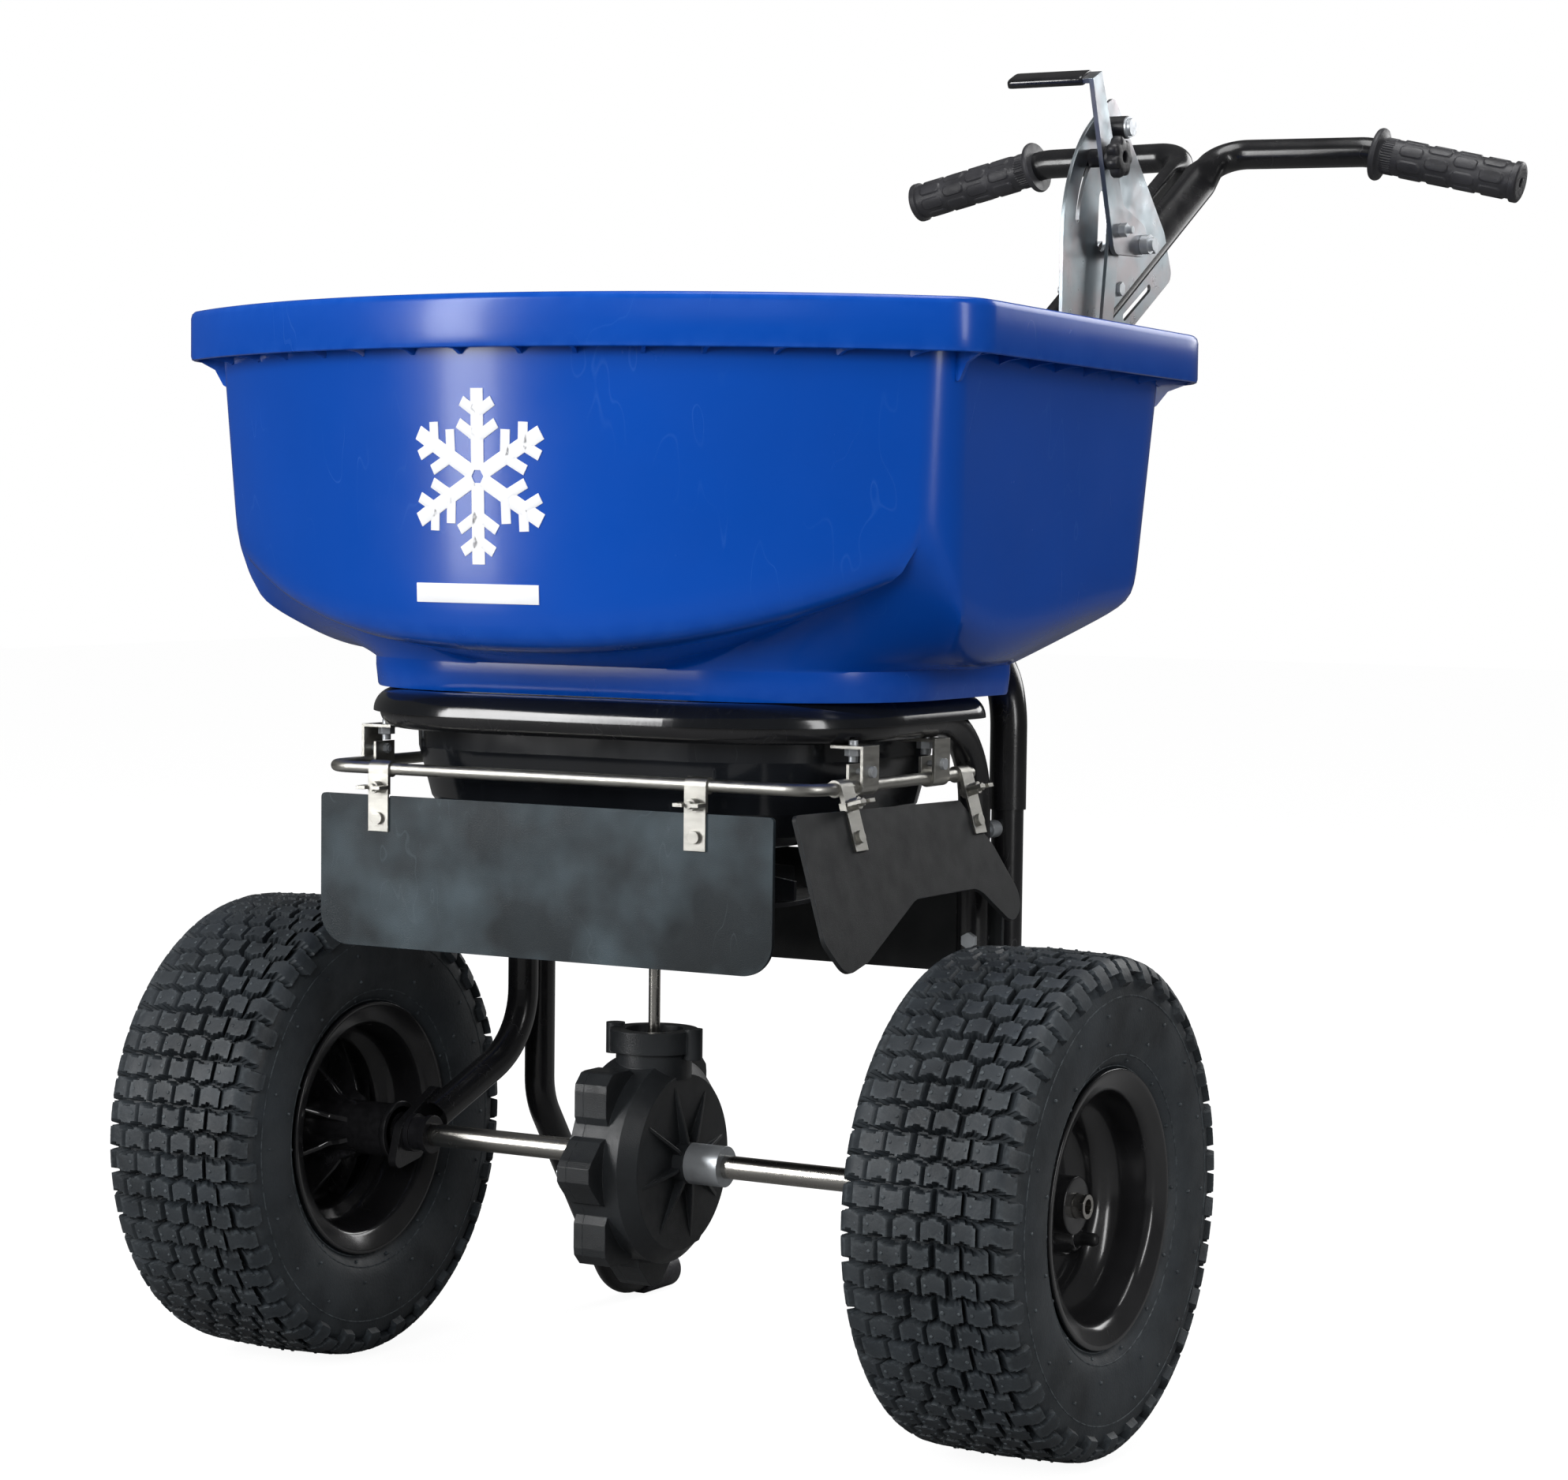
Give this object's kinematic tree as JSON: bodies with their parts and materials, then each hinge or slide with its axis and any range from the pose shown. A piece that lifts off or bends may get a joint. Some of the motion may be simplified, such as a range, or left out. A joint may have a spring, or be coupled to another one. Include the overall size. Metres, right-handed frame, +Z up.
{
  "type": "broadcast salt spreader",
  "caption": "Walk-behind broadcast salt spreader: deep hopper on an axle with pneumatic wheels, gearbox-driven impeller, hinged deflectors and a flow lever.",
  "frame": {"origin": "centre of the footprint's bounding box, on the ground", "axes": "+Z up, +Y from the front deflector back to the handlebar, +X along the axle to the drive wheel's side"},
  "size_m": [0.702, 1.1603, 0.9635],
  "materials": {
    "hopper_plastic": "semi-gloss moulded polyethylene",
    "pan_plastic": "gloss black moulding",
    "frame_paint": "gloss black powder coat on steel tube",
    "rim_paint": "gloss black paint on pressed steel",
    "tyre_rubber": "matte black rubber",
    "valve_rubber": "black rubber stem",
    "grip_rubber": "satin black moulded rubber",
    "zinc": "bright zinc plate",
    "zinc_plate": "passivated zinc plate, rolled sheet",
    "stainless": "satin stainless steel",
    "axle_steel": "ground bright steel bar",
    "gearbox_plastic": "satin black glass-filled nylon",
    "bearing_plastic": "black nylon",
    "gear_plastic": "natural acetal",
    "impeller_plastic": "black polypropylene",
    "shield_plastic": "black polyethylene sheet",
    "vinyl": "gloss black dipped vinyl",
    "knob_plastic": "black phenolic knob"
  },
  "bodies": {
    "frame": {"hopper": "hopper_plastic", "hopper_pan": "pan_plastic", "hopper_screws": "zinc", "gate_guides": "zinc", "leg_hoop_frame": "frame_paint", "frame_bolts": "zinc", "frame_spacers": "zinc", "rear_shield": "shield_plastic", "handle_tube_left": "frame_paint", "handle_tube_right": "frame_paint", "grips": "grip_rubber", "stand_legs": "frame_paint", "stand_feet": "grip_rubber", "axle_bushings": "bearing_plastic", "gearbox_shell_left": "gearbox_plastic", "gearbox_shell_right": "gearbox_plastic", "gearbox_cap": "gearbox_plastic", "gearbox_screws": "zinc", "shaft_bearings": "bearing_plastic", "deflector_rod": "stainless", "rod_brackets": "stainless", "bracket_bolts": "zinc", "control_plate": "zinc_plate", "plate_bolts": "zinc", "pivot_bolts": "zinc", "bumper_sleeve": "bearing_plastic", "bumper_bolt": "zinc"},
    "axle_drive": {"axle": "axle_steel", "axle_pins": "zinc", "axle_collars": "zinc", "collar_screws": "zinc", "drive_gear": "gear_plastic", "drive_rim": "rim_paint", "drive_tyre": "tyre_rubber", "drive_valve": "valve_rubber"},
    "free_wheel": {"free_rim": "rim_paint", "free_tyre": "tyre_rubber", "free_valve": "valve_rubber", "free_wheel_bushings": "bearing_plastic"},
    "impeller_drive": {"impeller_shaft": "axle_steel", "pinion_gear": "gear_plastic", "shaft_pins": "zinc", "impeller": "impeller_plastic", "agitator": "zinc"},
    "lever": {"flow_lever": "zinc_plate", "lever_grip": "vinyl", "link_bolt": "zinc", "knob_spacer": "bearing_plastic"},
    "knob": {"stop_knob": "knob_plastic"},
    "link": {"lever_link": "zinc_plate"},
    "crank": {"gate_crank": "zinc_plate"},
    "rod": {"gate_rod": "zinc_plate"},
    "gate": {"gate_plate": "stainless"},
    "front_flap": {"front_deflector": "shield_plastic", "front_clips": "stainless", "front_clip_screws": "stainless"},
    "side_flap": {"side_deflector": "shield_plastic", "side_clips": "stainless", "side_clip_screws": "stainless"}
  },
  "joints": [
    {"name": "axle_spin", "type": "hinge", "parent": "frame", "child": "axle_drive", "pos_m": [0, -0.35227, 0.165], "axis": [1, 0, 0], "continuous": true},
    {"name": "free_wheel_spin", "type": "hinge", "parent": "axle_drive", "child": "free_wheel", "pos_m": [-0.289, -0.35227, 0.165], "axis": [1, 0, 0], "continuous": true},
    {"name": "impeller_spin", "type": "hinge", "parent": "frame", "child": "impeller_drive", "pos_m": [0, -0.35227, 0.3], "axis": [0, 0, 1], "continuous": true},
    {"name": "flow_lever_turn", "type": "hinge", "parent": "frame", "child": "lever", "pos_m": [0.038, 0.34073, 0.828], "axis": [1, 0, 0], "range_deg": [0, 32]},
    {"name": "stop_knob_turn", "type": "hinge", "parent": "lever", "child": "knob", "pos_m": [0.046, 0.27159, 0.89315], "axis": [1, 0, 0], "range_deg": [0, 360]},
    {"name": "link_turn", "type": "hinge", "parent": "lever", "child": "link", "pos_m": [0.0335, 0.29776, 0.83698], "axis": [1, 0, 0], "range_deg": [-32, 0]},
    {"name": "crank_turn", "type": "hinge", "parent": "frame", "child": "crank", "pos_m": [0.0295, 0.32253, 0.7094], "axis": [1, 0, 0], "range_deg": [0, 32]},
    {"name": "rod_turn", "type": "hinge", "parent": "crank", "child": "rod", "pos_m": [0.0335, 0.31043, 0.6672], "axis": [1, 0, 0], "range_deg": [-32, 0]},
    {"name": "gate_slide", "type": "slide", "parent": "frame", "child": "gate", "axis": [0, 1, 0], "range_m": [0, 0.0242]},
    {"name": "front_flap_swing", "type": "hinge", "parent": "frame", "child": "front_flap", "pos_m": [0, -0.47227, 0.433], "axis": [-1, 0, 0], "range_deg": [-4, 60]},
    {"name": "side_flap_swing", "type": "hinge", "parent": "frame", "child": "side_flap", "pos_m": [0.19, -0.35227, 0.433], "axis": [0, -1, 0], "range_deg": [-6, 40]}
  ],
  "couplings": [
    {"joint": "impeller_spin", "follows": "axle_spin", "ratio": 4},
    {"joint": "link_turn", "follows": "flow_lever_turn", "ratio": -1},
    {"joint": "crank_turn", "follows": "flow_lever_turn", "ratio": 1},
    {"joint": "rod_turn", "follows": "flow_lever_turn", "ratio": -1},
    {"joint": "gate_slide", "follows": "flow_lever_turn", "m_per_rad": 0.043332}
  ]
}
